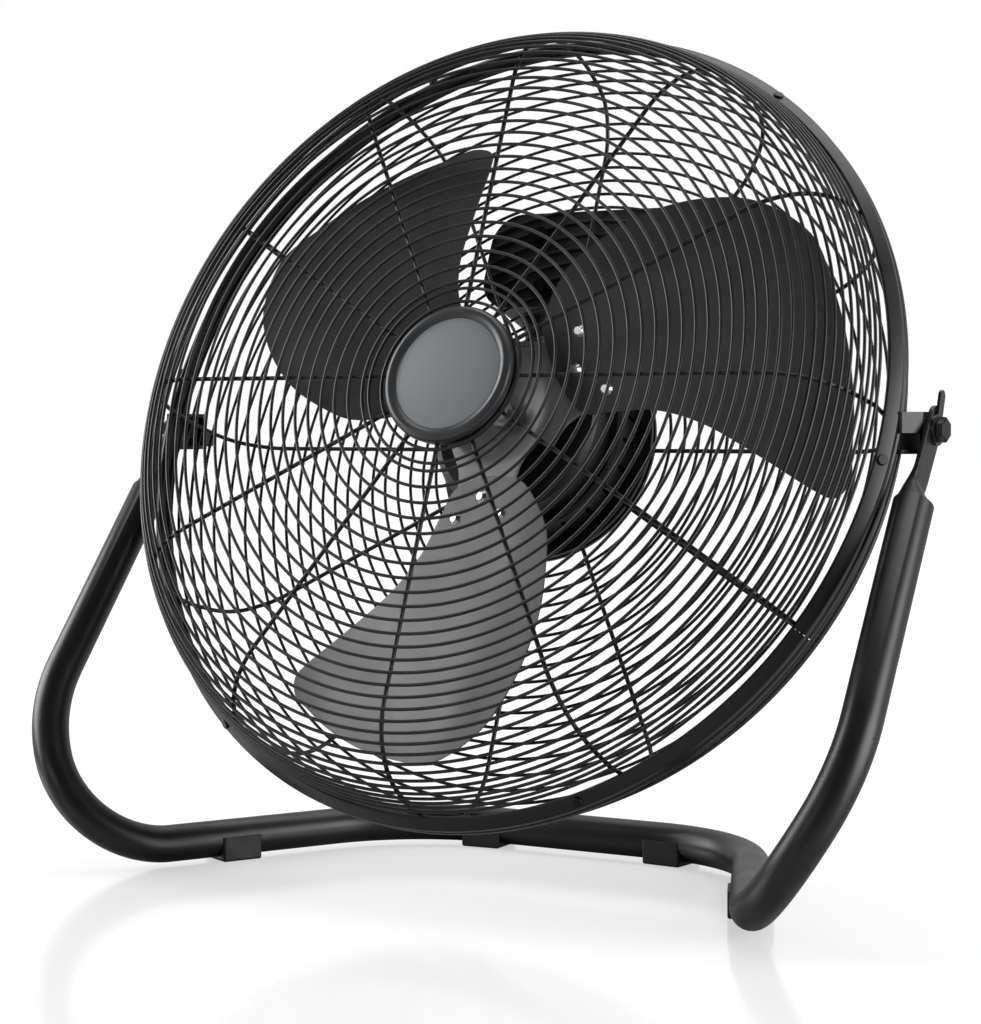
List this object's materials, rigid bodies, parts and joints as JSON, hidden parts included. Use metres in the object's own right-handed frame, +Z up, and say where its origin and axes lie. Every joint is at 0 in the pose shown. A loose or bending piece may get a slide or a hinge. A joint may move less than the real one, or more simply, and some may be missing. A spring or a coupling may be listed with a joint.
{
  "type": "drum fan",
  "caption": "Floor-standing high-velocity fan: wire-caged three-blade rotor in a rolled hoop, tilting between the arms of a low bent-tube stand.",
  "frame": {"origin": "centre of the overall bounding box, at the floor under the clip feet", "axes": "+Z up; the fan blows towards -Y; +X to the right seen from the front, along the pivot axis"},
  "size_m": [0.591, 0.322, 0.5434],
  "materials": {
    "frame_paint": "satin",
    "grille_paint": "satin",
    "foot_plastic": "matte",
    "steel": "machined",
    "zinc_fixings": "satin",
    "lever_paint": "satin",
    "washer_rubber": "matte",
    "badge_ring_plastic": "satin",
    "badge_face": "satin",
    "motor_paint": "satin",
    "bearing_brass": "machined",
    "winding_copper": "gloss",
    "box_plastic": "grained",
    "knob_plastic": "grained",
    "hub_paint": "satin",
    "blade_paint": "satin"
  },
  "bodies": {
    "stand": {"stand_tube_left": "frame_paint", "stand_tube_right": "frame_paint", "stand_joiner": "steel", "clip_feet": "foot_plastic"},
    "head": {"hoop": "frame_paint", "hoop_screws": "zinc_fixings", "pivot_bracket_left": "frame_paint", "pivot_bracket_right": "frame_paint", "weld_nuts": "steel", "friction_washers": "washer_rubber", "front_face_rings": "grille_paint", "front_side_rings": "grille_paint", "front_grille_ribs": "grille_paint", "rear_back_rings": "grille_paint", "rear_skirt_rings": "grille_paint", "rear_grille_ribs": "grille_paint", "badge_ring": "badge_ring_plastic", "badge_disc": "badge_face", "badge_screw": "zinc_fixings", "grille_centre_plate": "grille_paint", "motor_front_cover": "motor_paint", "motor_rear_cover": "motor_paint", "motor_back_plate": "grille_paint", "motor_screws": "zinc_fixings", "bearings": "bearing_brass", "stator_core": "steel", "windings": "winding_copper", "control_box": "box_plastic", "control_box_cover": "box_plastic", "box_cover_screws": "zinc_fixings", "box_mount_screws": "zinc_fixings", "box_mount_washers": "zinc_fixings", "speed_switch": "box_plastic", "capacitor": "box_plastic", "cable_gland": "box_plastic"},
    "rotor": {"shaft": "steel", "rotor_core": "steel", "hub_spider": "hub_paint", "hub_nut": "steel", "blade_1": "blade_paint", "blade_2": "blade_paint", "blade_3": "blade_paint", "blade_rivets": "steel"},
    "knob": {"speed_knob": "knob_plastic", "switch_spindle": "knob_plastic"},
    "clamp_left": {"clamp_bolt_left": "zinc_fixings", "clamp_lever_left": "lever_paint"},
    "clamp_right": {"clamp_bolt_right": "zinc_fixings", "clamp_lever_right": "lever_paint"}
  },
  "joints": [
    {"name": "head_tilt", "type": "hinge", "parent": "stand", "child": "head", "pos_m": [0, 0.00418, 0.2838], "axis": [-1, 0, 0], "range_deg": [-21, 68]},
    {"name": "rotor_spin", "type": "hinge", "parent": "head", "child": "rotor", "pos_m": [0, 0.00418, 0.2838], "axis": [0, 0.9323, -0.3616], "continuous": true},
    {"name": "knob_turn", "type": "hinge", "parent": "head", "child": "knob", "pos_m": [0.04, 0.14804, 0.37816], "axis": [0, 0.9323, -0.3616], "range_deg": [0, 135]},
    {"name": "clamp_left_turn", "type": "hinge", "parent": "stand", "child": "clamp_left", "pos_m": [-0.2825, 0.00418, 0.2838], "axis": [-1, 0, 0], "range_deg": [0, 80]},
    {"name": "clamp_right_turn", "type": "hinge", "parent": "stand", "child": "clamp_right", "pos_m": [0.2825, 0.00418, 0.2838], "axis": [1, 0, 0], "range_deg": [0, 180]}
  ]
}
